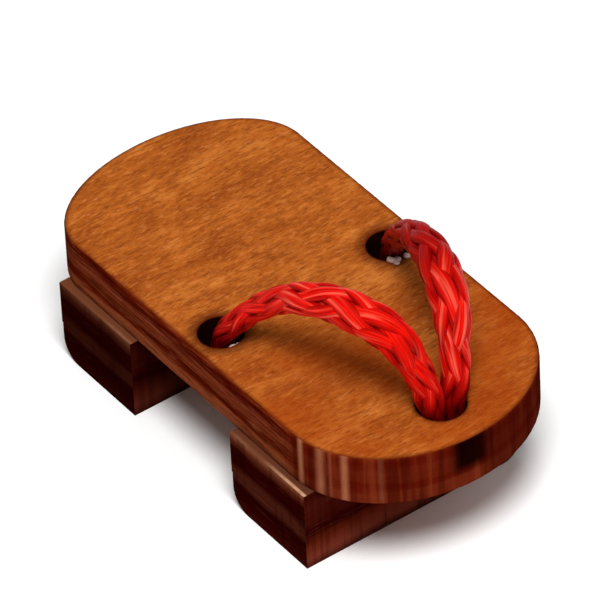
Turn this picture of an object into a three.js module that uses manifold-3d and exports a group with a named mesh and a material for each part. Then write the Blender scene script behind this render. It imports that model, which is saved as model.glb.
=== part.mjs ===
// A miniature geta: a stained plywood foot board on two cross teeth, with a forked cord strap.
// Millimetres, +Z up. It stands on z = 0, with the toe towards -Y and the heel towards +Y.

import * as THREE from 'three';
import { mergeVertices } from 'three/addons/utils/BufferGeometryUtils.js';
import Module from 'manifold-3d';

// Foot board
const BOARD_WIDTH = 24;
const BOARD_LENGTH = 48.8;
const BOARD_THICKNESS = 5;
const TOE_CURVE = 9.9; // how long the half oval at the toe is
const HEEL_CURVE = 7.7; // how long the half oval at the heel is

// Teeth, each of two glued layers
const TOOTH_WIDTH = 22.9;
const TOOTH_LENGTH = 10.6;
const TOOTH_SHIFT = 1.3; // the teeth are glued this far to the wearer's right of the board's middle
const UPPER_LAYER = 4.6;
const LOWER_LAYER = 3.6;
const LAYER_STEP = 0.2; // the lower layer stops this far short of the upper one at the back
const EDGE_RADIUS = 2.1; // rounding of the lower layer's back edge and left end
const FRONT_TOOTH_BACK = -6.3;
const HEEL_TOOTH_BACK = 18.6;

// Holes, placed out to the side and ahead of the board's middle
const BACK_HOLE = { out: 9.0, ahead: 0.5, radius: 2.1 };
const TOE_HOLE = { out: 0, ahead: 19.3, radius: 2.3 };

// Strap
const ARM_SIDES = 12;
const ARM_STEPS = 60;

// One arm of the strap, from its end in the back hole to its end in the toe hole: out to the side and
// ahead of the board's middle, and up from the board's top face. thick is the cord's thickness: pulled
// tight in the holes, and plump over the instep.
const ARM_ROUTE = [
  { out: 9.0, ahead: 0.5, up: -4.7, thick: 2.1 },
  { out: 9.0, ahead: 0.6, up: -1.4, thick: 2.1 },
  { out: 8.85, ahead: 1.0, up: 0.3, thick: 2.15 },
  { out: 8.4, ahead: 2.0, up: 1.9, thick: 2.2 },
  { out: 7.6, ahead: 3.8, up: 4.1, thick: 2.3 },
  { out: 6.5, ahead: 7.3, up: 7.1, thick: 2.7 },
  { out: 5.3, ahead: 11.2, up: 8.6, thick: 3.3 },
  { out: 4.0, ahead: 14.9, up: 8.6, thick: 3.6 },
  { out: 2.9, ahead: 17.3, up: 7.3, thick: 3.4 },
  { out: 2.05, ahead: 18.75, up: 4.8, thick: 2.8 },
  { out: 1.5, ahead: 19.35, up: 2.0, thick: 2.3 },
  { out: 0.9, ahead: 19.3, up: -0.4, thick: 2.1 },
  { out: 0.8, ahead: 19.4, up: -4.7, thick: 2.1 },
];

const STANDING_HEIGHT = UPPER_LAYER + LOWER_LAYER;
const BOARD_TOP = STANDING_HEIGHT + BOARD_THICKNESS;
// The teeth stand proud of the board on one side, and the origin is midway across the whole sandal.
const BOARD_X = (TOOTH_WIDTH / 2 + TOOTH_SHIFT - BOARD_WIDTH / 2) / 2;
const TOOTH_X = BOARD_X - TOOTH_SHIFT;

const manifold = await Module();
manifold.setup();

const topWood = new THREE.MeshStandardMaterial({ color: 0xb86428, roughness: 0.6, metalness: 0 });
const toothWood = new THREE.MeshStandardMaterial({ color: 0x4f2116, roughness: 0.7, metalness: 0 });
const redCord = new THREE.MeshStandardMaterial({ color: 0xd6190f, roughness: 0.45, metalness: 0 });

/** Turns a closed geometry into a solid that can be joined and cut. */
function toSolid(geometry) {
  const bare = geometry.clone();
  bare.deleteAttribute('normal');
  bare.deleteAttribute('uv');
  const merged = mergeVertices(bare, 1e-5);
  return new manifold.Manifold(new manifold.Mesh({
    numProp: 3,
    vertProperties: new Float32Array(merged.attributes.position.array),
    triVerts: new Uint32Array(merged.index.array),
  }));
}

/** Turns a solid back into a geometry. */
function toGeometry(solid) {
  const mesh = solid.getMesh();
  const geometry = new THREE.BufferGeometry();
  geometry.setAttribute('position', new THREE.BufferAttribute(mesh.vertProperties, 3));
  geometry.setIndex(new THREE.BufferAttribute(mesh.triVerts, 1));
  geometry.computeVertexNormals();
  return geometry;
}

function namedMesh(name, geometry, material) {
  const mesh = new THREE.Mesh(geometry, material.clone());
  mesh.name = name;
  return mesh;
}

/** The board's plan: two straight sides, closed by a half oval at the toe and one at the heel. */
function boardOutline() {
  const half = BOARD_WIDTH / 2;
  const toeStart = TOE_CURVE - BOARD_LENGTH / 2;
  const heelStart = BOARD_LENGTH / 2 - HEEL_CURVE;
  const outline = new THREE.Shape();
  outline.moveTo(half, toeStart);
  outline.lineTo(half, heelStart);
  outline.absellipse(0, heelStart, half, HEEL_CURVE, 0, Math.PI, false, 0);
  outline.lineTo(-half, toeStart);
  outline.absellipse(0, toeStart, half, TOE_CURVE, Math.PI, 2 * Math.PI, false, 0);
  return outline;
}

function roundHole(out, { ahead, radius }) {
  const hole = new THREE.Path();
  hole.absarc(out, -ahead, radius, 0, 2 * Math.PI, true);
  return hole;
}

function makeBoard() {
  const plan = boardOutline();
  plan.holes.push(roundHole(-BACK_HOLE.out, BACK_HOLE));
  plan.holes.push(roundHole(BACK_HOLE.out, BACK_HOLE));
  plan.holes.push(roundHole(TOE_HOLE.out, TOE_HOLE));
  const options = { depth: BOARD_THICKNESS, bevelEnabled: false, curveSegments: 20 };
  const board = namedMesh('board', new THREE.ExtrudeGeometry(plan, options), topWood);
  board.position.set(BOARD_X, 0, STANDING_HEIGHT);
  return board;
}

function makeUpperLayer(name, toothBack) {
  const block = new THREE.BoxGeometry(TOOTH_WIDTH, TOOTH_LENGTH, UPPER_LAYER);
  const layer = namedMesh(name, block, toothWood);
  layer.position.set(TOOTH_X, toothBack - TOOTH_LENGTH / 2, LOWER_LAYER + UPPER_LAYER / 2);
  return layer;
}

/** A rectangle from (0, 0) to (length, LOWER_LAYER) with its lower far corner rounded. */
function layerProfile(length) {
  const profile = new THREE.Shape();
  profile.moveTo(0, 0);
  profile.lineTo(length - EDGE_RADIUS, 0);
  profile.absarc(length - EDGE_RADIUS, EDGE_RADIUS, EDGE_RADIUS, -Math.PI / 2, 0, false);
  profile.lineTo(length, LOWER_LAYER);
  profile.lineTo(0, LOWER_LAYER);
  return profile;
}

/** Extrudes a profile whose across and up directions become the given axis and +Z. */
function extrudeProfile(profile, depth, across, along) {
  const geometry = new THREE.ExtrudeGeometry(profile, { depth, bevelEnabled: false, curveSegments: 10 });
  return geometry.applyMatrix4(new THREE.Matrix4().makeBasis(across, new THREE.Vector3(0, 0, 1), along));
}

/** The lower layer: its side profile rounds the back edge, and its end profile the left end. */
function makeLowerLayer(name, toothBack) {
  const length = TOOTH_LENGTH - LAYER_STEP;
  const alongX = new THREE.Vector3(1, 0, 0);
  const alongY = new THREE.Vector3(0, 1, 0);
  const sideways = extrudeProfile(layerProfile(length), TOOTH_WIDTH, alongY, alongX);
  const endways = extrudeProfile(layerProfile(TOOTH_WIDTH), length, alongX, alongY.clone().negate());
  endways.translate(0, length, 0);
  const block = toSolid(sideways).intersect(toSolid(endways));
  const layer = namedMesh(name, toGeometry(block), toothWood);
  layer.position.set(TOOTH_X - TOOTH_WIDTH / 2, toothBack - TOOTH_LENGTH, 0);
  return layer;
}

/** The arm's radius, part of the way along its route, between the thicknesses of the rows. */
function armRadius(part) {
  const place = part * (ARM_ROUTE.length - 1);
  const row = Math.min(Math.floor(place), ARM_ROUTE.length - 2);
  return THREE.MathUtils.lerp(ARM_ROUTE[row].thick, ARM_ROUTE[row + 1].thick, place - row) / 2;
}

/** One arm: a round bar bent along the route, on the side of the board given by sign. */
function makeArm(sign) {
  const points = ARM_ROUTE.map(({ out, ahead, up }) => new THREE.Vector3(sign * out, -ahead, up));
  const route = new THREE.CatmullRomCurve3(points, false, 'centripetal');
  const frames = route.computeFrenetFrames(ARM_STEPS);
  const bar = new THREE.CylinderGeometry(1, 1, 1, ARM_SIDES, ARM_STEPS);
  const corners = bar.attributes.position;
  for (let i = 0; i < corners.count; i += 1) {
    const step = Math.round((0.5 - corners.getY(i)) * ARM_STEPS);
    const radius = armRadius(route.getUtoTmapping(step / ARM_STEPS));
    const place = route.getPointAt(step / ARM_STEPS);
    place.addScaledVector(frames.normals[step], radius * corners.getX(i));
    place.addScaledVector(frames.binormals[step], radius * corners.getZ(i));
    corners.setXYZ(i, place.x, place.y, place.z);
  }
  return toSolid(bar);
}

/** The whole strap, made about the middle of the board's top face: two arms joined in the toe hole. */
function makeStrap() {
  const joined = makeArm(1).add(makeArm(-1));
  const strap = namedMesh('strap', toGeometry(joined), redCord);
  strap.position.set(BOARD_X, 0, BOARD_TOP);
  return strap;
}

const geta = new THREE.Group();
geta.add(makeBoard());
geta.add(makeUpperLayer('front_tooth_upper', FRONT_TOOTH_BACK));
geta.add(makeLowerLayer('front_tooth_lower', FRONT_TOOTH_BACK));
geta.add(makeUpperLayer('heel_tooth_upper', HEEL_TOOTH_BACK));
geta.add(makeLowerLayer('heel_tooth_lower', HEEL_TOOTH_BACK));
geta.add(makeStrap());

export default geta;
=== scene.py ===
"""A miniature geta: a stained plywood foot board on two glued cross teeth, with a plaited red cord strap.

Every piece is worked out in millimetres and put into its mesh in metres. +Z is up, the toe points to -Y and
the wearer's right is -X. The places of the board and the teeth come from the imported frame.
"""

import math

import bmesh
import bpy
import numpy as np
from mathutils import Matrix, Vector


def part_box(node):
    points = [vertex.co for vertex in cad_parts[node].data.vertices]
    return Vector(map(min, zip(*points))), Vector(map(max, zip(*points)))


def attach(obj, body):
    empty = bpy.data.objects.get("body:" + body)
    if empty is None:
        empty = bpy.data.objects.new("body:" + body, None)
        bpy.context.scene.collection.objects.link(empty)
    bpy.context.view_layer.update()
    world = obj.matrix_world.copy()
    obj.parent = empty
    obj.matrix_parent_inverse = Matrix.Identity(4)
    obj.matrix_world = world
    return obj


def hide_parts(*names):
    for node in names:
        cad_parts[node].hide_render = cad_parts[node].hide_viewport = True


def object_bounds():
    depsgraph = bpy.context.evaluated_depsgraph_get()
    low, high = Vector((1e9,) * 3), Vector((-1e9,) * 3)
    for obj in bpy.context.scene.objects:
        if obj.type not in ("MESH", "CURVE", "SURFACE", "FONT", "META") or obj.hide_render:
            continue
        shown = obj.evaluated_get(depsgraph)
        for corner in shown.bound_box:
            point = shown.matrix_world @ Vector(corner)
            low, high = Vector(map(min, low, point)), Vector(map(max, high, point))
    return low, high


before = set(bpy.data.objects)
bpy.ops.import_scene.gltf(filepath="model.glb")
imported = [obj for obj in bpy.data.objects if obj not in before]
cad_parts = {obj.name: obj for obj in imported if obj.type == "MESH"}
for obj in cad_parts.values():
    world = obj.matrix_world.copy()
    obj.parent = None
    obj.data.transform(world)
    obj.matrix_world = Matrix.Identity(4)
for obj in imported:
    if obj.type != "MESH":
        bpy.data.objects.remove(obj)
cad_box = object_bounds()

MM = 0.001
BODY = "root"


def node_box(node):
    """Lowest and highest corner of a CAD node, in millimetres."""
    low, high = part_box(node)
    return np.array(low) / MM, np.array(high) / MM


BOARD_LOW, BOARD_HIGH = node_box("board")
BOARD_MIDDLE = (BOARD_LOW + BOARD_HIGH) / 2
HALF_WIDTH = (BOARD_HIGH[0] - BOARD_LOW[0]) / 2
HALF_LENGTH = (BOARD_HIGH[1] - BOARD_LOW[1]) / 2
BOARD_TOP = BOARD_HIGH[2]
BOARD_UNDERSIDE = BOARD_LOW[2]

# Board
TOE_CURVE = 9.9  # how long the half oval at the toe is
HEEL_CURVE = 7.7  # and at the heel
OUTLINE_POINTS = 560

# How a cut is shaped: the radius of its softened corners, how far in from it the scorched band reaches, and
# how many rows of points go down it
OUTER_CUT = {"softness": 0.16, "band": 0.48, "levels": 9}
HOLE_CUT = {"softness": 0.10, "band": 0.26, "levels": 5}
CUT_RIPPLE = 0.035  # how deep the laser's upright ripples are
RIPPLE_SEED = 11
RIPPLE_WAVES = (83, 121, 167, 211)  # how many times each of its waves goes round the outline

# Pale upright bars that the laser left across the plies round the toe's right corner: degrees round the
# half oval from the end of the straight side, half width in degrees, and strength
LIGHT_BARS = [
    {"turn": 6.0, "half": 1.8, "strength": 0.70},
    {"turn": 18.0, "half": 2.4, "strength": 0.46},
    {"turn": 23.5, "half": 1.0, "strength": 0.18},
    {"turn": 30.5, "half": 1.8, "strength": 0.50},
    {"turn": 47.0, "half": 1.2, "strength": 0.16},
]

# Holes: out to the side and ahead of the board's middle, and how far past the rim the wood is scorched
HOLE_SIDES = 72
HOLES = [
    {"out": 8.95, "ahead": 0.4, "radius": 2.0, "scorch": 1.9},
    {"out": -8.95, "ahead": 0.4, "radius": 2.0, "scorch": 1.9},
    {"out": 0.0, "ahead": 19.35, "radius": 2.15, "scorch": 0.9},
]

# Teeth
TOOTH_RIGHT = node_box("front_tooth_upper")[0][0]
TOOTH_BACK = node_box("front_tooth_upper")[1][1]
TOOTH_REPEAT = node_box("heel_tooth_upper")[1][1] - TOOTH_BACK  # from one tooth's back to the other's
LOWER_EDGE_RADIUS = 2.1  # rounding of the lower layer's back edge and left end
TOOTH_SOFTNESS = 0.14
TOOTH_COLUMNS = 9
TOOTH_ROWS = 5
BEND_STEPS = 11

# One arm of the strap, from its end in the back hole to its end in the toe hole: out to the side and ahead
# of the board's middle, up from its top face, and the cord's thickness there
ARM_ROUTE = [
    {"out": 9.0, "ahead": 0.5, "up": -4.6, "thick": 2.1},
    {"out": 9.0, "ahead": 0.6, "up": -1.4, "thick": 2.1},
    {"out": 8.85, "ahead": 1.0, "up": 0.3, "thick": 2.15},
    {"out": 8.4, "ahead": 2.0, "up": 1.9, "thick": 2.2},
    {"out": 7.6, "ahead": 3.8, "up": 4.1, "thick": 2.3},
    {"out": 6.5, "ahead": 7.3, "up": 7.1, "thick": 2.7},
    {"out": 5.3, "ahead": 11.2, "up": 8.6, "thick": 3.3},
    {"out": 4.0, "ahead": 14.9, "up": 8.6, "thick": 3.6},
    {"out": 2.9, "ahead": 17.3, "up": 7.3, "thick": 3.4},
    {"out": 2.05, "ahead": 18.75, "up": 4.8, "thick": 2.8},
    {"out": 1.46, "ahead": 19.5, "up": 2.0, "thick": 2.6},
    {"out": 1.0, "ahead": 19.6, "up": -0.3, "thick": 2.3},
    {"out": 0.95, "ahead": 19.5, "up": -2.6, "thick": 2.1},
    {"out": 0.9, "ahead": 19.4, "up": -4.6, "thick": 2.1},
]
HIGHLIGHT_RIGHT = 17.5  # how far along the right arm its painted highlight is strongest
HIGHLIGHT_LEFT = 27.5
LEFT_ARM_SHADE = (27.0, 19.0)  # where the painted shade on the left arm's back part starts, and where it is full
STRANDS_EACH_WAY = 5
PLAIT_PITCH = 27.0  # how far along the cord a strand goes once round
STRAND_SIDES = 16
STRAND_STEPS = 260

# As parts of the cord's radius: how far out the strands lie and how far they swing in and out, their half
# width and half height, and how far each of those changes with the swing
STRAND_REACH = 0.70
STRAND_SWING = 0.080
STRAND_WIDTH = 0.40
STRAND_SPREAD = 0.04
STRAND_HEIGHT = 0.235
STRAND_PRESS = 0.01
CORE_RADIUS = 0.66

STRAND_WOBBLE = 0.10  # how far a strand strays round the cord, in radians
STRAND_PLUMPING = 0.06  # how much its width comes and goes
RANDOM_START = 6.28  # a wave starts anywhere in about one turn

# Beads of dried glue on the near rims of the back holes: out, ahead, up from the top face, and half sizes
GLUE_BEADS = [
    {"out": 7.85, "ahead": 2.05, "up": 0.06, "half": (0.34, 0.40, 0.24)},
    {"out": 8.30, "ahead": 2.35, "up": 0.04, "half": (0.40, 0.34, 0.20)},
    {"out": 8.05, "ahead": 2.60, "up": 0.00, "half": (0.26, 0.30, 0.12)},
    {"out": 9.25, "ahead": 2.45, "up": 0.04, "half": (0.34, 0.34, 0.18)},
    {"out": 9.55, "ahead": 2.55, "up": 0.00, "half": (0.22, 0.24, 0.12)},
    {"out": -9.15, "ahead": 2.28, "up": -0.22, "half": (0.44, 0.20, 0.16)},
    {"out": -8.60, "ahead": 2.36, "up": -0.16, "half": (0.24, 0.14, 0.10)},
]
GLUE_ROWS = 18
POLE = 0.02  # how much of a drop, in radians, or of a plug's radius, is left to its closing face
PLUG_DEPTH = 0.45  # how far a plug of glue fills its hole, up from the underside
PLUG_GAP = 0.03  # between a plug and the hole's wall
PLUG_RINGS = 12

# Camera
CAMERA_AZIMUTH = -34.8
CAMERA_ELEVATION = 41.7
CAMERA_ROLL = -2.9
CAMERA_DISTANCE = 0.648
CAMERA_LENS = 450.0
SENSOR_WIDTH = 36.0

# Floor and soft lights, in metres and watts
FLOOR_HALF = 1.6
LIGHT_TARGET = (0, 0, 0.008)
LIGHTS = [
    {"name": "key", "place": (-0.10, -0.16, 0.42), "size": 0.20, "power": 2.2},
    {"name": "fill", "place": (0.30, -0.16, 0.30), "size": 0.34, "power": 0.25},
    {"name": "back", "place": (0.05, 0.34, 0.30), "size": 0.30, "power": 0.3},
]
SKY_STRENGTH = 0.22


# ---------------------------------------------------------------- camera, floor and light


def make_camera():
    """A long lens that looks down on the toe and the wearer's right side, rolled a little.

    It stands off from the floor under the board's middle, at azimuth a and elevation e, in the direction
    (sin a cos e, -cos a cos e, sin e), and looks at the middle of the whole sandal."""
    azimuth, elevation = math.radians(CAMERA_AZIMUTH), math.radians(CAMERA_ELEVATION)
    back = np.array([
        math.sin(azimuth) * math.cos(elevation),
        -math.cos(azimuth) * math.cos(elevation),
        math.sin(elevation),
    ])
    place = np.array([BOARD_MIDDLE[0] * MM, 0, 0]) + CAMERA_DISTANCE * back
    target = (np.array(cad_box[0]) + np.array(cad_box[1])) / 2
    back = (place - target) / np.linalg.norm(place - target)
    right = np.cross([0, 0, 1], back)
    right /= np.linalg.norm(right)
    up = np.cross(back, right)
    roll = math.radians(CAMERA_ROLL)
    rolled_right = right * math.cos(roll) + up * math.sin(roll)
    rolled_up = up * math.cos(roll) - right * math.sin(roll)
    camera = bpy.data.objects.new("camera", bpy.data.cameras.new("camera"))
    bpy.context.scene.collection.objects.link(camera)
    matrix = np.eye(4)
    matrix[:3, 0], matrix[:3, 1], matrix[:3, 2], matrix[:3, 3] = rolled_right, rolled_up, back, place
    camera.matrix_world = Matrix(matrix.tolist())
    camera.data.lens = CAMERA_LENS
    camera.data.sensor_width = SENSOR_WIDTH
    camera.data.clip_start = 0.01
    bpy.context.scene.camera = camera


make_camera()


def area_light(name, place, size, power):
    """A round soft light that faces the sandal."""
    light = bpy.data.lights.new(name, "AREA")
    light.shape = "DISK"
    light.size = size
    light.energy = power
    lamp = bpy.data.objects.new(name, light)
    bpy.context.scene.collection.objects.link(lamp)
    lamp.location = place
    lamp.rotation_euler = (Vector(place) - Vector(LIGHT_TARGET)).to_track_quat("Z", "Y").to_euler()


def make_lights():
    """The soft lights, and a dim white sky."""
    for light in LIGHTS:
        area_light(**light)
    world = bpy.data.worlds.new("studio")
    bpy.context.scene.world = world
    world.use_nodes = True
    background = world.node_tree.nodes["Background"]
    background.inputs["Color"].default_value = (1, 1, 1, 1)
    background.inputs["Strength"].default_value = SKY_STRENGTH


def make_floor():
    """One pale square under the teeth."""
    floor_mesh = bpy.data.meshes.new("floor")
    corners = np.array([[-1, -1, 0], [1, -1, 0], [1, 1, 0], [-1, 1, 0]]) * FLOOR_HALF
    floor_mesh.from_pydata(corners.tolist(), [], [(0, 1, 2, 3)])
    floor = bpy.data.objects.new("floor", floor_mesh)
    bpy.context.scene.collection.objects.link(floor)
    material = bpy.data.materials.new("pale_floor")
    material.use_nodes = True
    shader = material.node_tree.nodes["Principled BSDF"]
    shader.inputs["Base Color"].default_value = (0.93, 0.93, 0.93, 1)
    shader.inputs["Roughness"].default_value = 0.9
    floor_mesh.materials.append(material)


make_lights()
make_floor()


# ---------------------------------------------------------------- meshes from arrays


def grid_quads(rows, columns, start=0, closed=True):
    """Quads between the rows of a grid of points. When closed, the last column joins the first."""
    last = columns if closed else columns - 1
    row, column = np.meshgrid(np.arange(rows - 1), np.arange(last), indexing="ij")
    near = row * columns + column
    far = row * columns + (column + 1) % columns
    return np.stack([near, far, far + columns, near + columns], -1).reshape(-1, 4) + start


def grid_uvs(rows, columns, length):
    """A corner list of (part of the way round, distance along), matching grid_quads closed."""
    row, column = np.meshgrid(np.arange(rows - 1), np.arange(columns), indexing="ij")
    u = np.stack([column, column + 1, column + 1, column], -1) / columns
    v = np.stack([row, row, row + 1, row + 1], -1) / (rows - 1) * length
    return np.stack([u, v], -1).reshape(-1, 2)


def new_object(name, points, faces, material, uvs=None):
    """A smooth-shaded mesh object from points in millimetres."""
    mesh = bpy.data.meshes.new(name)
    mesh.from_pydata((np.asarray(points) * MM).tolist(), [], [list(face) for face in faces])
    if uvs is not None:
        layer = mesh.uv_layers.new(name="lie")
        layer.data.foreach_set("uv", np.asarray(uvs, np.float32).ravel())
    mesh.polygons.foreach_set("use_smooth", np.ones(len(mesh.polygons), bool))
    mesh.materials.append(material)
    mesh.update()
    thing = bpy.data.objects.new(name, mesh)
    bpy.context.scene.collection.objects.link(thing)
    return thing


def hand_over(piece, slot, *nodes):
    """Hangs the piece on its body and hides the CAD nodes that it stands for. The slot is not used."""
    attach(piece, BODY)
    if nodes:
        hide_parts(*nodes)


# ---------------------------------------------------------------- materials


class Nodes:
    """Short calls for building one material's node tree."""

    def __init__(self, name):
        self.material = bpy.data.materials.new(name)
        self.material.use_nodes = True
        self.tree = self.material.node_tree
        self.shader = self.tree.nodes["Principled BSDF"]

    def add(self, kind, inputs=(), **settings):
        """A new node. Each input is a number, a colour or another node's output."""
        node = self.tree.nodes.new(kind)
        for key, value in settings.items():
            setattr(node, key, value)
        for key, value in dict(inputs).items():
            self.put(value, node.inputs[key])
        return node

    def put(self, value, socket):
        if isinstance(value, bpy.types.NodeSocket):
            self.tree.links.new(value, socket)
        else:
            socket.default_value = value

    def coordinates(self, scale):
        """Object coordinates in millimetres, each axis times its scale."""
        place = self.add("ShaderNodeTexCoord").outputs["Object"]
        size = tuple(s / MM for s in scale)
        return self.add("ShaderNodeMapping", {"Vector": place, "Scale": size}).outputs["Vector"]

    def axis(self, name):
        """One Object coordinate, in millimetres."""
        place = self.add("ShaderNodeTexCoord").outputs["Object"]
        split = self.add("ShaderNodeSeparateXYZ", {"Vector": place})
        return self.times(split.outputs[name], 1 / MM)

    def ahead(self):
        """How far ahead of the sandal's middle, towards the toe, in millimetres."""
        return self.times(self.axis("Y"), -1.0)

    def mark(self, name):
        """A mark that the mesh carries on its points."""
        return self.add("ShaderNodeAttribute", attribute_name=name).outputs["Fac"]

    def math(self, operation, first, second=0.0, clamp=False):
        node = self.add("ShaderNodeMath", {0: first, 1: second}, operation=operation, use_clamp=clamp)
        return node.outputs[0]

    def plus(self, first, second, clamp=False):
        return self.math("ADD", first, second, clamp)

    def minus(self, first, second):
        return self.math("SUBTRACT", first, second)

    def times(self, first, second, clamp=False):
        return self.math("MULTIPLY", first, second, clamp)

    def noise(self, scale, detail=3.0, roughness=0.55, distortion=0.0):
        """Noise in Object coordinates: scale is how many lumps there are per millimetre on each axis."""
        settings = {
            "Vector": self.coordinates(scale),
            "Scale": 1.0,
            "Detail": detail,
            "Roughness": roughness,
            "Distortion": distortion,
        }
        return self.add("ShaderNodeTexNoise", settings).outputs["Fac"]

    def step(self, value, low, high):
        """0 below low and 1 above high, smooth between. With low above high it is the other way up."""
        inputs = {"Value": value, "From Min": low, "From Max": high}
        node = self.add("ShaderNodeMapRange", inputs, interpolation_type="SMOOTHSTEP")
        return node.outputs["Result"]

    def ramp(self, value, stops):
        """A colour ramp: stops are (place, screen colour)."""
        node = self.add("ShaderNodeValToRGB", {"Fac": value})
        band = node.color_ramp
        while len(band.elements) < len(stops):
            band.elements.new(0.5)
        for element, (place, colour) in zip(band.elements, stops):
            element.position = place
            element.color = (*linear(*colour), 1)
        return node.outputs["Color"]

    def mix(self, part, first, second):
        """From the first colour to the second, as part goes from 0 to 1."""
        node = self.add("ShaderNodeMix", data_type="RGBA", clamp_factor=True)
        for value, socket in ((part, 0), (first, 6), (second, 7)):
            self.put((*value, 1) if isinstance(value, tuple) else value, node.inputs[socket])
        return node.outputs[2]

    def tint(self, base, mask, strength, colour):
        """The base colour, drawn towards a screen colour by mask times strength."""
        return self.mix(self.times(mask, strength), base, linear(*colour))

    def bump(self, height, distance, strength):
        inputs = {"Height": height, "Distance": distance * MM, "Strength": strength}
        return self.add("ShaderNodeBump", inputs).outputs["Normal"]

    def finish(self, colour, roughness, normal, **constants):
        """Joins the shader up, sets its constants and returns the material."""
        self.put(colour, self.shader.inputs["Base Color"])
        self.put(roughness, self.shader.inputs["Roughness"])
        self.put(normal, self.shader.inputs["Normal"])
        for key, value in constants.items():
            self.shader.inputs[key.replace("_", " ")].default_value = value
        return self.material


def linear(red, green, blue):
    """A colour given in 0 to 255 screen values, in the linear values that the shader reads."""
    part = np.array([red, green, blue]) / 255
    return tuple(np.where(part <= 0.04045, part / 12.92, ((part + 0.055) / 1.055) ** 2.4).tolist())


# Stains and chars, and in the teeth's end tones painted shade under the board: place on the ramp, and
# colour in screen values
FACE_TONES = [
    (0.34, (132, 56, 10)),
    (0.46, (152, 74, 18)),
    (0.56, (164, 84, 24)),
    (0.68, (184, 106, 42)),
]
PLY_TONES = [
    (0.00, (118, 58, 34)),
    (0.20, (128, 60, 32)),
    (0.30, (86, 24, 6)),
    (0.40, (74, 12, 2)),
    (0.50, (104, 42, 18)),
    (0.68, (112, 46, 26)),
    (0.78, (84, 22, 8)),
    (0.88, (70, 9, 1)),
    (1.00, (112, 34, 10)),
]
TOOTH_SIDE_TONES = [
    (0.00, (62, 12, 6)),
    (0.14, (42, 3, 1)),
    (0.34, (36, 1, 1)),
    (0.43, (70, 28, 18)),
    (0.53, (68, 26, 16)),
    (0.62, (38, 2, 1)),
    (0.82, (40, 2, 1)),
    (0.92, (86, 36, 20)),
    (1.00, (124, 72, 48)),
]
# The teeth's ends: ply tones, darker in the upper layer and most of all just under the board as painted
# shade of the board above.
TOOTH_END_TONES = [
    (0.00, (60, 22, 15)),
    (0.12, (112, 48, 34)),
    (0.28, (92, 30, 14)),
    (0.43, (52, 6, 3)),
    (0.50, (46, 2, 1)),
    (0.62, (64, 14, 8)),
    (0.82, (72, 18, 12)),
    (1.00, (50, 4, 2)),
]


def stained_face(n, streaks, pores):
    """The faces: a slow figure, streaks, flecks and short dark pores across the width, redder ahead of the
    strap, with a soft scorched ring round each hole."""
    figure = n.noise((0.11, 0.26, 0.26), 4.0, 0.65, 0.8)
    fine = n.noise((1.9, 9.0, 9.0), 2.0, 0.6)
    face = n.ramp(figure, FACE_TONES)
    face = n.tint(face, n.step(streaks, 0.52, 0.34), 0.60, (112, 42, 6))
    face = n.tint(face, n.step(streaks, 0.54, 0.72), 0.45, (198, 120, 52))
    flecks = n.noise((0.95, 2.2, 2.2), 3.0, 0.6, 0.2)
    face = n.tint(face, n.step(flecks, 0.55, 0.68), 0.45, (192, 114, 58))
    face = n.tint(face, n.step(flecks, 0.46, 0.34), 0.40, (138, 60, 16))
    face = n.tint(face, n.step(pores, 0.58, 0.68), 0.60, (100, 38, 10))
    face = n.tint(face, n.step(fine, 0.30, 0.75), 0.18, (214, 140, 76))
    warm = n.times(n.step(n.ahead(), 0.0, 11.0), n.step(n.noise((0.14, 0.14, 0.14)), 0.34, 0.66))
    face = n.tint(face, warm, 0.55, (146, 50, 3))
    place = n.add("ShaderNodeCombineXYZ", {"X": n.axis("X"), "Y": n.axis("Y")}).outputs["Vector"]
    for hole in HOLES:
        middle = (BOARD_MIDDLE[0] + hole["out"], BOARD_MIDDLE[1] - hole["ahead"], 0.0)
        away = n.add("ShaderNodeVectorMath", {0: place, 1: middle}, operation="DISTANCE")
        ragged = n.plus(away.outputs["Value"], n.times(flecks, 0.5))
        ring = n.step(ragged, hole["radius"] + hole["scorch"], hole["radius"])
        face = n.tint(face, ring, 0.92, (72, 24, 8))
    return face


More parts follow.
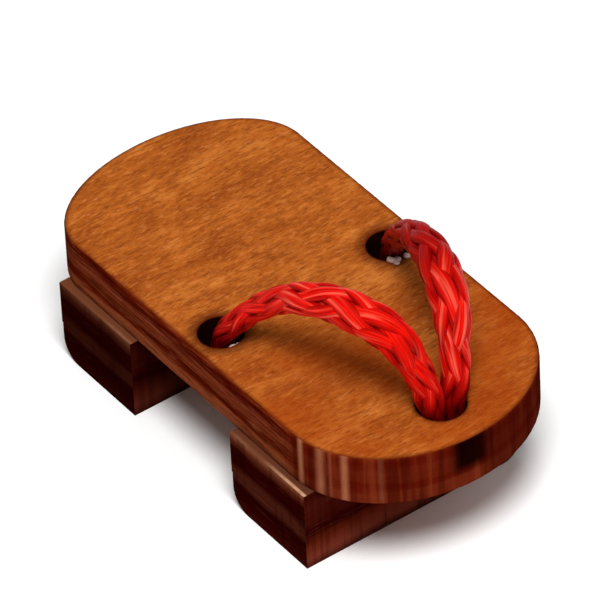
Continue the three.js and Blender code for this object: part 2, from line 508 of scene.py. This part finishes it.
def cut_edge(n, cloud, along_fibres, ripple):
    """The laser-cut sides: plies one above the other, with char that wanders along the cut, and round the
    toe upright ripples and pale bars, where the plies fade."""
    ahead = n.ahead()
    across = n.axis("X")
    height = n.minus(n.axis("Z"), BOARD_UNDERSIDE)
    level = n.plus(height, n.times(n.minus(cloud, 0.5), 2.2))
    cut = n.ramp(n.math("DIVIDE", level, BOARD_TOP - BOARD_UNDERSIDE), PLY_TONES)
    toe = n.step(ahead, 13.0, 15.5)
    banded = n.minus(1.0, n.times(toe, 0.75))
    dark_fibres = n.times(n.step(along_fibres, 0.52, 0.36), banded)
    light_fibres = n.times(n.step(along_fibres, 0.54, 0.70), banded)
    cut = n.tint(cut, dark_fibres, 0.60, (44, 4, 1))
    cut = n.tint(cut, light_fibres, 0.42, (150, 84, 54))
    cut = n.tint(cut, toe, 0.76, (92, 18, 5))
    rippled = n.plus(0.05, n.times(toe, 0.50))
    cut = n.tint(cut, n.step(ripple, 0.50, 0.36), rippled, (48, 4, 1))
    cut = n.tint(cut, n.step(ripple, 0.54, 0.66), n.times(rippled, 0.5), (140, 62, 34))

    # Pale bars, by the angle round the toe's half oval.
    past_side = n.math("DIVIDE", n.minus(ahead, HALF_LENGTH - TOE_CURVE), TOE_CURVE)
    off_middle = n.math("DIVIDE", n.minus(BOARD_MIDDLE[0], across), HALF_WIDTH)
    round_toe = n.times(n.math("ARCTAN2", past_side, off_middle), 180 / math.pi)
    uneven = n.plus(0.35, n.times(n.noise((0.4, 0.4, 0.7), 2.0), 0.9), clamp=True)
    for bar in LIGHT_BARS:
        off = n.math("ABSOLUTE", n.minus(round_toe, bar["turn"]))
        pale = n.times(n.step(off, bar["half"] * 1.7, 0.0), uneven)
        cut = n.tint(cut, pale, bar["strength"], (190, 122, 86))

    # A nearly black patch at the toe's middle, darker to the left of it, and a darker heel.
    from_black_patch = n.math("ABSOLUTE", n.plus(across, 0.3))
    ragged = n.times(n.minus(ripple, 0.5), 1.6)
    under_top = n.times(n.step(height, 1.0, 2.6), n.step(ahead, 17.0, 20.0))
    black_patch = n.times(n.step(n.plus(from_black_patch, ragged), 2.7, 1.0), under_top)
    cut = n.tint(cut, black_patch, 0.97, (13, 1, 1))
    left_of_black_patch = n.times(n.step(across, 0.0, 2.0), toe)
    cut = n.tint(cut, left_of_black_patch, 0.55, (54, 8, 4))
    cut = n.tint(cut, n.step(ahead, -15.5, -20.0), 0.45, (52, 10, 8))
    return cut


def make_board_wood():
    """Stained ply, laid out by the marks that the board's mesh carries: rim, which scorches the face beside
    each cut, edge, which shows the cut itself, and bore, which blackens the holes' walls as painted shade."""
    n = Nodes("stained_board")
    edge = n.mark("edge")
    streaks = n.noise((0.62, 2.7, 2.7), 4.0, 0.68, 0.3)
    pores = n.noise((0.85, 5.6, 5.6), 2.0, 0.5)
    cloud = n.noise((0.10, 0.10, 0.55), 3.0, 0.6)
    along_fibres = n.noise((0.30, 0.30, 5.0), 3.0, 0.65)
    ripple = n.noise((1.1, 1.1, 0.05), 2.0, 0.5)

    scorch = n.times(n.mark("rim"), n.plus(0.35, n.times(cloud, 1.1)), clamp=True)
    colour = n.mix(scorch, stained_face(n, streaks, pores), linear(74, 22, 4))
    colour = n.mix(edge, colour, cut_edge(n, cloud, along_fibres, ripple))
    # Painted shade in the holes: their charred walls drawn on towards near black.
    colour = n.tint(colour, n.mark("bore"), edge, (24, 5, 2))

    grain = n.plus(n.times(streaks, 0.6), n.times(n.step(pores, 0.66, 0.56), 0.7))
    grain = n.plus(grain, n.times(n.plus(ripple, along_fibres), edge))
    roughness = n.plus(0.50, n.times(n.noise((0.6, 2.6, 2.6)), 0.26))
    return n.finish(colour, roughness, n.bump(grain, 0.06, 0.5), Specular_IOR_Level=0.0)


def make_tooth_wood():
    """The teeth's ply: nearly black char on the cut sides, a browner line at the glued parting, and bare
    pale wood where the upper layer's top shows beside the board. Painted shade darkens the ends' upper
    layer, the bare top where it meets the board, and the heel tooth all over."""
    n = Nodes("charred_tooth")
    ahead = n.ahead()
    cloud = n.noise((0.18, 0.18, 0.5), 3.0, 0.6)
    fibres = n.noise((0.32, 0.32, 5.0), 3.0, 0.6)
    ripple = n.noise((1.2, 1.2, 0.06), 3.0, 0.6)
    level = n.plus(n.axis("Z"), n.times(n.minus(cloud, 0.5), 0.9))
    share = n.math("DIVIDE", level, BOARD_UNDERSIDE)
    lengthwise = n.ramp(share, TOOTH_SIDE_TONES)
    endwise = n.ramp(share, TOOTH_END_TONES)
    facing = n.add("ShaderNodeSeparateXYZ", {"Vector": n.add("ShaderNodeNewGeometry").outputs["Normal"]})
    faces_toe = n.step(n.math("ABSOLUTE", facing.outputs["Y"]), 0.35, 0.75)
    colour = n.mix(faces_toe, lengthwise, endwise)
    colour = n.tint(colour, n.step(fibres, 0.54, 0.72), 0.26, (104, 50, 34))
    colour = n.tint(colour, n.step(ripple, 0.52, 0.36), 0.38, (24, 2, 1))

    # The bare top of the upper layer: pale along its outer edge, and more so towards the toe, with painted
    # shade where it meets the board.
    grain = n.noise((0.7, 0.5, 2.6), 3.0, 0.6)
    bare = n.mix(n.step(grain, 0.35, 0.68), linear(150, 100, 72), linear(192, 146, 112))
    near_board = n.step(n.axis("X"), TOOTH_RIGHT + 0.20, TOOTH_RIGHT + 0.40)
    bare = n.tint(bare, near_board, 0.92, (72, 26, 14))
    along_tooth = n.math("FRACT", n.math("DIVIDE", n.plus(ahead, TOOTH_BACK), TOOTH_REPEAT))
    on_heel_tooth = n.step(ahead, 2.0, -2.0)
    bare = n.tint(bare, n.step(along_tooth, 0.40, 0.16), 0.85, (96, 52, 34))
    bare = n.tint(bare, on_heel_tooth, 0.80, (104, 58, 36))
    # The heel tooth darker all over: its char, and painted shade under the board.
    colour = n.tint(colour, on_heel_tooth, 0.55, (20, 1, 1))
    high = n.step(n.axis("Z"), BOARD_UNDERSIDE - 0.3, BOARD_UNDERSIDE - 0.1)
    colour = n.mix(n.times(n.step(facing.outputs["Z"], 0.5, 0.8), high), colour, bare)
    relief = n.plus(fibres, n.times(ripple, 0.8))
    roughness = n.plus(0.55, n.times(cloud, 0.25))
    return n.finish(colour, roughness, n.bump(relief, 0.05, 0.5), Specular_IOR_Level=0.0)


def make_cord_red():
    """Glossy plaited cord: fine threads along each strand, with painted glints on the brightest bundles,
    painted shade on each strand's flanks where it meets its neighbours, deep red painted shade low down and
    in the holes, painted shade on the left arm behind its crown, and a painted highlight on the crests
    where each arm is palest. It reads the strand's own lie: part of the way round it, and distance along
    it."""
    n = Nodes("red_cord")
    lie = n.add("ShaderNodeUVMap", uv_map="lie").outputs["UV"]

    def along_strand(around, along, detail):
        """Noise with so many lumps round a strand, and so many for each millimetre along it."""
        place = n.add("ShaderNodeMapping", {"Vector": lie, "Scale": (around, along, 1.0)}).outputs["Vector"]
        settings = {"Vector": place, "Scale": 1.0, "Detail": detail, "Roughness": 0.55, "Distortion": 0.25}
        return n.add("ShaderNodeTexNoise", settings).outputs["Fac"]

    threads = along_strand(30.0, 0.30, 2.0)
    bundles = along_strand(11.0, 0.20, 1.0)
    patches = n.noise((0.40, 0.40, 0.40), 2.0)
    red = n.mix(n.step(threads, 0.36, 0.62), linear(176, 4, 2), linear(232, 20, 8))
    # Painted glints: the brightest bundles of threads drawn towards pale red and pink.
    red = n.tint(red, n.step(bundles, 0.50, 0.70), 0.45, (250, 54, 32))
    red = n.tint(red, n.step(bundles, 0.60, 0.74), 0.50, (255, 116, 92))
    red = n.tint(red, n.step(patches, 0.55, 0.35), 0.30, (164, 3, 2))
    split = n.add("ShaderNodeSeparateXYZ", {"Vector": lie}).outputs
    left = n.step(n.axis("X"), BOARD_MIDDLE[0] - 0.3, BOARD_MIDDLE[0] + 0.3)
    # A painted highlight: pale pink on the strands' crests, strongest at one place along each arm.
    highlight_at = n.plus(HIGHLIGHT_RIGHT, n.times(left, HIGHLIGHT_LEFT - HIGHLIGHT_RIGHT))
    highlight_band = n.step(n.math("ABSOLUTE", n.minus(split["Y"], highlight_at)), 4.8, 0.8)
    flank = n.math("ABSOLUTE", n.math("COSINE", n.times(split["X"], 2 * math.pi)))
    crest = n.times(n.step(flank, 0.85, 0.20), n.step(bundles, 0.42, 0.60))
    red = n.tint(red, n.times(highlight_band, crest), 0.46, (255, 128, 104))
    # Painted shade on each strand's flanks, where it meets its neighbours.
    red = n.tint(red, n.step(flank, 0.60, 0.98), 0.62, (132, 1, 1))
    # Painted shade on the left arm, from its back end up towards its crown.
    left_arm_shade = n.times(left, n.step(split["Y"], *LEFT_ARM_SHADE))
    red = n.tint(red, left_arm_shade, 0.62, (92, 0, 2))
    # Painted shade low down, near the board's top and in the holes.
    low = n.step(n.axis("Z"), BOARD_TOP + 4.2, BOARD_TOP - 0.6)
    red = n.tint(red, low, 0.86, (66, 0, 2))
    relief = n.plus(threads, n.times(bundles, 0.8))
    roughness = n.plus(0.30, n.times(threads, 0.25))
    return n.finish(
        red, roughness, n.bump(relief, 0.09, 0.8),
        Specular_IOR_Level=0.05, Specular_Tint=(1.0, 0.42, 0.34, 1.0),
    )


def make_glue(name, clear, milky):
    """Dried glue, from a clear colour to a milky one in soft clouds."""
    n = Nodes(name)
    milk = n.noise((1.6, 1.6, 1.6), 2.0)
    colour = n.mix(milk, clear, milky)
    roughness = n.plus(0.12, n.times(milk, 0.2))
    return n.finish(colour, roughness, n.bump(milk, 0.05, 0.4), Specular_IOR_Level=0.6)


# ---------------------------------------------------------------- the foot board


def board_outline():
    """Points and outward directions round the board's plan, anticlockwise from the left side's toe end.

    Left side up to the heel curve, half oval (cos t, sin t) scaled by half width and HEEL_CURVE, right side
    down, half oval at the toe scaled by half width and TOE_CURVE. The points are even along the outline."""
    heel_start = HALF_LENGTH - HEEL_CURVE
    toe_start = TOE_CURVE - HALF_LENGTH
    turn = np.linspace(0, math.pi, 400)
    side = np.linspace(toe_start, heel_start, 200)[:-1]
    heel = np.stack([HALF_WIDTH * np.cos(turn), heel_start + HEEL_CURVE * np.sin(turn)], 1)
    toe = np.stack([-HALF_WIDTH * np.cos(turn), toe_start - TOE_CURVE * np.sin(turn)], 1)
    left = np.stack([np.full(side.size, HALF_WIDTH), side], 1)
    right = np.stack([np.full(side.size, -HALF_WIDTH), side[::-1]], 1)
    loop = np.concatenate([left, heel, right, toe[:-1]])
    closed = np.concatenate([loop, loop[:1]])
    gone = np.concatenate([[0], np.cumsum(np.linalg.norm(np.diff(closed, axis=0), axis=1))])
    keep = np.concatenate([[True], np.diff(gone) > 1e-9])
    want = np.linspace(0, gone[-1], OUTLINE_POINTS, endpoint=False)
    points = np.stack([np.interp(want, gone[keep], closed[keep, k]) for k in (0, 1)], 1)
    ahead = np.roll(points, -1, axis=0) - np.roll(points, 1, axis=0)
    ahead /= np.linalg.norm(ahead, axis=1, keepdims=True)
    return points, np.stack([ahead[:, 1], -ahead[:, 0]], 1)


def edge_profile(softness, band, levels):
    """Insets from the cut and heights above the underside: over the top, round the edge, down and under.

    The rounded corners are quarter circles: inset = softness (1 - cos a), drop = softness (1 - sin a)."""
    thick = BOARD_TOP - BOARD_UNDERSIDE
    quarter = np.linspace(math.pi / 2, 0, 6)
    bend = np.stack([softness * (1 - np.cos(quarter)), softness * (1 - np.sin(quarter))], 1)
    flat = np.linspace(band, softness, 4)[:-1]
    upright = np.linspace(thick - softness, softness, levels)[1:-1]
    inset = np.concatenate([flat, bend[:, 0], np.zeros(upright.size), bend[::-1, 0], flat[::-1]])
    height = np.concatenate([
        np.full(flat.size, thick), thick - bend[:, 1], upright, bend[::-1, 1], np.zeros(flat.size),
    ])
    return inset, height


def cut_grid(points, outward, ripple, cut, bore):
    """The grid P(u, v) = outline(u) - (inset(v) + ripple(u) on the side) outward(u), at height(v).

    Each point has three marks: rim, 1 at the cut and 0 where the band ends, edge, 1 on the cut itself, and
    bore, as given."""
    inset, height = edge_profile(**cut)
    on_side = np.clip(1 - inset / cut["softness"], 0, 1)
    shift = inset[:, None] + on_side[:, None] * ripple[None, :]
    plan = points[None] - shift[..., None] * outward[None]
    z = np.broadcast_to(height[:, None], shift.shape)
    grid = np.concatenate([plan, z[..., None]], -1)
    grid += [BOARD_MIDDLE[0], BOARD_MIDDLE[1], BOARD_UNDERSIDE]
    rim = np.clip(1 - inset / cut["band"], 0, 1)
    edge = np.clip(1.4 - inset / (cut["softness"] * 0.7), 0, 1)
    marks = {"rim": rim, "edge": edge, "bore": np.full(inset.size, bore)}
    return grid, {name: np.repeat(values, len(points)) for name, values in marks.items()}


def make_board(material):
    """The board: its edge profile carried round the outline and, turned inside out, round each hole, with
    the two flat faces between them filled. The ripple is a sum of sines of random heights and starts."""
    rng = np.random.default_rng(RIPPLE_SEED)
    points, outward = board_outline()
    part = np.arange(len(points)) / len(points)
    ripple = sum(
        rng.uniform(0.5, 1.0) * np.sin(2 * math.pi * (waves * part + rng.uniform()))
        for waves in RIPPLE_WAVES
    )
    ripple = CUT_RIPPLE * (ripple - ripple.min()) / (ripple.max() - ripple.min())
    cuts = [cut_grid(points, outward, ripple, OUTER_CUT, 0.0)]
    turn = -np.linspace(0, 2 * math.pi, HOLE_SIDES, endpoint=False)
    ray = np.stack([np.cos(turn), np.sin(turn)], 1)
    for hole in HOLES:
        ring = np.array([hole["out"], -hole["ahead"]]) + hole["radius"] * ray
        cuts.append(cut_grid(ring, -ray, np.zeros(HOLE_SIDES), HOLE_CUT, 1.0))
    faces, start = [], 0
    for grid, _ in cuts:
        faces.append(grid_quads(*grid.shape[:2], start))
        start += grid.shape[0] * grid.shape[1]
    every_point = np.concatenate([grid.reshape(-1, 3) for grid, _ in cuts])
    board = new_object("foot_board", every_point, np.concatenate(faces), material)
    for name in ("rim", "edge", "bore"):
        values = np.concatenate([marks[name] for _, marks in cuts])
        layer = board.data.attributes.new(name, "FLOAT", "POINT")
        layer.data.foreach_set("value", values.astype(np.float32))
    fill_flat_faces(board.data)
    hand_over(board, "board_wood", "board")


def fill_flat_faces(mesh):
    """Fills between the open rings on the top face, and again on the underside, with triangles."""
    work = bmesh.new()
    work.from_mesh(mesh)
    for level in (BOARD_TOP, BOARD_UNDERSIDE):
        ring = [e for e in work.edges if e.is_boundary and abs(e.verts[0].co.z - level * MM) < 1e-6]
        bmesh.ops.triangle_fill(work, edges=ring, use_beauty=True, use_dissolve=False)
    bmesh.ops.recalc_face_normals(work, faces=work.faces)
    for face in work.faces:
        face.smooth = True
    work.to_mesh(mesh)
    work.free()


# ---------------------------------------------------------------- the teeth


def tooth_layer(name, node, rounded, material):
    """One glued layer: a box whose six faces are grids (u, v). When rounded, its bottom is lifted along the
    back edge and the left end: bottom(x, y) = R - sqrt(R^2 - d^2), where d is how far the point lies beyond
    the start of the rounding, at whichever of the two it is more."""
    low, high = node_box(node)
    size = high - low
    radius = LOWER_EDGE_RADIUS
    bends = np.sin(np.linspace(0, math.pi / 2, BEND_STEPS)) * radius

    def spaced(length):
        """Even places along an edge, closer together over the rounding at its far end."""
        if not rounded:
            return np.linspace(0, length, TOOTH_COLUMNS)
        return np.concatenate([np.linspace(0, length - radius, TOOTH_COLUMNS), length - radius + bends[1:]])

    xs, ys, ts = spaced(size[0]), spaced(size[1]), np.linspace(0, 1, TOOTH_ROWS)

    def bottom_at(x, y):
        if not rounded:
            return np.zeros(np.broadcast(x, y).shape)
        over_x = np.clip(x - (size[0] - radius), 0, radius)
        over_y = np.clip(y - (size[1] - radius), 0, radius)
        return radius - np.sqrt(radius**2 - np.maximum(over_x, over_y) ** 2)

    def patch(x, y, t):
        """Points at x and y, part t of the way from the bottom to the top."""
        x, y, t = np.broadcast_arrays(x, y, t)
        bottom = bottom_at(x, y)
        return np.stack([x, y, bottom + t * (size[2] - bottom)], -1)

    grids = [
        patch(xs[:, None], ys[None, :], 0.0),
        patch(xs[:, None], ys[None, :], 1.0),
        patch(0.0, ys[:, None], ts[None, :]),
        patch(size[0], ys[:, None], ts[None, :]),
        patch(xs[:, None], 0.0, ts[None, :]),
        patch(xs[:, None], size[1], ts[None, :]),
    ]
    points, faces, start = [], [], 0
    for grid in grids:
        rows, columns = grid.shape[:2]
        points.append(grid.reshape(-1, 3) + low)
        faces += [tuple(face) for face in grid_quads(rows, columns, start, closed=False)]
        start += rows * columns
    layer = new_object(name, np.concatenate(points), faces, material)
    work = bmesh.new()
    work.from_mesh(layer.data)
    bmesh.ops.remove_doubles(work, verts=work.verts, dist=1e-6)
    bmesh.ops.recalc_face_normals(work, faces=work.faces)
    work.to_mesh(layer.data)
    work.free()
    bevel = layer.modifiers.new("softened", "BEVEL")
    bevel.width = TOOTH_SOFTNESS * MM
    bevel.segments = 3
    bevel.limit_method = "ANGLE"
    bevel.angle_limit = math.radians(40)
    hand_over(layer, "tooth_wood", node)


# ---------------------------------------------------------------- the strap


def smooth_route(rows, samples=40):
    """The route as a centripetal Catmull-Rom curve through the rows, with the thickness carried along.

    For each span, the knots are spaced by the square root of the distance, and the point is blended from
    straight lines between the rows, three deep."""
    first = 2 * rows[0] - rows[1]
    last = 2 * rows[-1] - rows[-2]
    full = np.vstack([first, rows, last])
    gap = np.sqrt(np.linalg.norm(np.diff(full[:, :3], axis=0), axis=1))
    knots = np.concatenate([[0], np.cumsum(gap)])
    spans = len(rows) - 1
    part = np.linspace(0, 1, samples, endpoint=False)
    i = np.arange(spans)
    t = knots[i + 1][:, None] + part * (knots[i + 2] - knots[i + 1])[:, None]

    def between(a, b, ta, tb):
        """The straight line that is at a when t is ta, and at b when t is tb."""
        w = ((t - ta[:, None]) / (tb - ta)[:, None])[..., None]
        return a * (1 - w) + b * w

    p = [full[i + k][:, None, :] for k in range(4)]
    k = [knots[i + n] for n in range(4)]
    a = [between(p[n], p[n + 1], k[n], k[n + 1]) for n in range(3)]
    b = [between(a[n], a[n + 1], k[n], k[n + 2]) for n in range(2)]
    curve = between(b[0], b[1], k[1], k[2]).reshape(-1, rows.shape[1])
    return np.vstack([curve, rows[-1]])


def even_along(curve, count):
    """The curve again, at even steps of its length. Returns the rows and the distance along."""
    gone = np.concatenate([[0], np.cumsum(np.linalg.norm(np.diff(curve[:, :3], axis=0), axis=1))])
    want = np.linspace(0, gone[-1], count)
    return np.stack([np.interp(want, gone, curve[:, k]) for k in range(curve.shape[1])], 1), want


def unit(vectors):
    """The same directions, each one long."""
    return vectors / np.linalg.norm(vectors, axis=-1, keepdims=True)


def arm_frame(sign):
    """One arm's middle line, radius, two cross directions and distance along. Of the cross directions, the
    first is sideways to the arm's upright plane and the second is square to it and to the line."""
    rows = np.array([[sign * r["out"], -r["ahead"], r["up"], r["thick"]] for r in ARM_ROUTE])
    rows[:, :3] += [BOARD_MIDDLE[0], BOARD_MIDDLE[1], BOARD_TOP]
    line, along = even_along(smooth_route(rows), STRAND_STEPS)
    middle, radius = line[:, :3], line[:, 3] / 2
    tangent = unit(np.gradient(middle, axis=0))
    sideways = unit(np.array([-(middle[-1, 1] - middle[0, 1]), middle[-1, 0] - middle[0, 0], 0]))
    level = unit(sideways - (tangent @ sideways)[:, None] * tangent)
    return middle, radius, level, np.cross(tangent, level), along


def tube(middle, out_direction, wide, high):
    """The grid P(u, v) = middle(v) + wide cos(u) across + high sin(u) out, square to the line, uncapped."""
    tangent = unit(np.gradient(middle, axis=0))
    out = unit(out_direction - np.sum(out_direction * tangent, -1, keepdims=True) * tangent)
    across = np.cross(out, tangent)
    turn = np.linspace(0, 2 * math.pi, STRAND_SIDES, endpoint=False)
    ring = (
        across[:, None] * (wide[:, None] * np.cos(turn))[..., None]
        + out[:, None] * (high[:, None] * np.sin(turn))[..., None]
    )
    return middle[:, None] + ring


def join_tubes(name, tubes, lengths, material, slot, *nodes):
    """One mesh from several closed tubes. Each end ring is capped by one face."""
    points, faces, uvs, start = [], [], [], 0
    for grid, length in zip(tubes, lengths):
        rows, columns = grid.shape[:2]
        points.append(grid.reshape(-1, 3))
        faces += [tuple(face) for face in grid_quads(rows, columns, start)]
        uvs.append(grid_uvs(rows, columns, length))
        faces.append(tuple(range(start + columns - 1, start - 1, -1)))
        faces.append(tuple(range(start + (rows - 1) * columns, start + rows * columns)))
        uvs.append(np.zeros((2 * columns, 2)))
        start += rows * columns
    piece = new_object(name, np.concatenate(points), faces, material, np.concatenate(uvs))
    hand_over(piece, slot, *nodes)


def make_arm(name, sign, material, seed):
    """One plaited arm: n strands wind each way round a core and pass over and under each other.

    Strand i winds at phi = +-(2 pi s / pitch) + 2 pi i / n, with a slight wobble. Its distance from the
    middle line is rho = R (reach +- swing cos(2 pi n s / pitch)), plus for one way and minus for the other,
    so that all n of one way are on top at one crossing and beneath at the next."""
    rng = np.random.default_rng(seed)
    middle, radius, level, rising, along = arm_frame(sign)
    tubes = []
    swing_phase = 2 * math.pi * STRANDS_EACH_WAY * along / PLAIT_PITCH
    for way in (1, -1):
        for number in range(STRANDS_EACH_WAY):
            wobble = STRAND_WOBBLE * np.sin(along * rng.uniform(0.5, 0.9) + rng.uniform(0, RANDOM_START))
            phi = way * 2 * math.pi * along / PLAIT_PITCH + 2 * math.pi * number / STRANDS_EACH_WAY
            phi += wobble
            over = way * np.cos(swing_phase)
            out = np.cos(phi)[:, None] * level + np.sin(phi)[:, None] * rising
            rho = radius * (STRAND_REACH + STRAND_SWING * over)
            swell = np.sin(along * rng.uniform(0.7, 1.3) + rng.uniform(0, RANDOM_START))
            wide = radius * (STRAND_WIDTH + STRAND_SPREAD * over) * (1 + STRAND_PLUMPING * swell)
            high = radius * (STRAND_HEIGHT - STRAND_PRESS * over)
            tubes.append(tube(middle + rho[:, None] * out, out, wide, high))
    tubes.append(tube(middle, level, radius * CORE_RADIUS, radius * CORE_RADIUS))
    join_tubes(name, tubes, [along[-1]] * len(tubes), material, "strap_cord", "strap")


# ---------------------------------------------------------------- the glue


def make_glue_beads(material):
    """Small drops: rows v from pole to pole and columns u round each ball, its half sizes sideways times
    1 + 0.12 sin(3 u) sin(2 v), with the rings at its poles drawn in small and capped."""
    polar = np.linspace(POLE, math.pi - POLE, GLUE_ROWS)[:, None]
    turn = np.linspace(0, 2 * math.pi, 2 * GLUE_ROWS, endpoint=False)[None, :]
    lump = 1 + 0.12 * np.sin(3 * turn) * np.sin(2 * polar)
    ball = np.stack([
        np.sin(polar) * np.cos(turn) * lump,
        np.sin(polar) * np.sin(turn) * lump,
        -np.cos(polar) * np.ones_like(turn),
    ], -1)
    drops = []
    for bead in GLUE_BEADS:
        place = [BOARD_MIDDLE[0] + bead["out"], BOARD_MIDDLE[1] - bead["ahead"], BOARD_TOP + bead["up"]]
        drops.append(ball * bead["half"] + place)
    join_tubes("glue_beads", drops, [1.0] * len(drops), material, "board_wood")


def make_glue_plugs(material):
    """The glue that fills each hole round the cord ends, nearly level with the underside: a disc whose
    lower face is lumped as height = 0.10 + 0.09 sin(2.2 x + 1) cos(1.9 y) (1 - r^2), in millimetres, where
    r is the part of the radius."""
    turn = np.linspace(0, 2 * math.pi, HOLE_SIDES, endpoint=False)[None, :]
    part = np.linspace(POLE, 1, PLUG_RINGS)[:, None]
    back_hole = HOLES[0]["radius"]
    x, y = back_hole * part * np.cos(turn), back_hole * part * np.sin(turn)
    lower = 0.10 + 0.09 * np.sin(2.2 * x + 1) * np.cos(1.9 * y) * (1 - part**2)
    upper = np.full((1, HOLE_SIDES), PLUG_DEPTH)
    reach = np.vstack([part, part[-1:], part[::-1]])
    height = np.vstack([lower, upper, np.repeat(upper, PLUG_RINGS, axis=0)])
    plugs = []
    for hole in HOLES:
        radius = hole["radius"] - PLUG_GAP
        plan = [radius * reach * np.cos(turn), radius * reach * np.sin(turn), height]
        place = [BOARD_MIDDLE[0] + hole["out"], BOARD_MIDDLE[1] - hole["ahead"], BOARD_UNDERSIDE]
        plugs.append(np.stack(plan, -1) + place)
    join_tubes("glue_plugs", plugs, [1.0] * len(plugs), material, "board_wood")


# ---------------------------------------------------------------- making it all

board_wood = make_board_wood()
tooth_wood = make_tooth_wood()
cord_red = make_cord_red()
make_board(board_wood)
for tooth in ("front_tooth", "heel_tooth"):
    tooth_layer(tooth + "_upper_block", tooth + "_upper", False, tooth_wood)
    tooth_layer(tooth + "_lower_block", tooth + "_lower", True, tooth_wood)
make_arm("right_strap_arm", -1, cord_red, seed=3)
make_arm("left_strap_arm", 1, cord_red, seed=5)
make_glue_beads(make_glue("milky_glue", linear(150, 112, 104), linear(214, 186, 178)))
make_glue_plugs(make_glue("amber_glue", linear(74, 40, 22), linear(150, 112, 88)))

bpy.context.scene.view_settings.view_transform = "Standard"
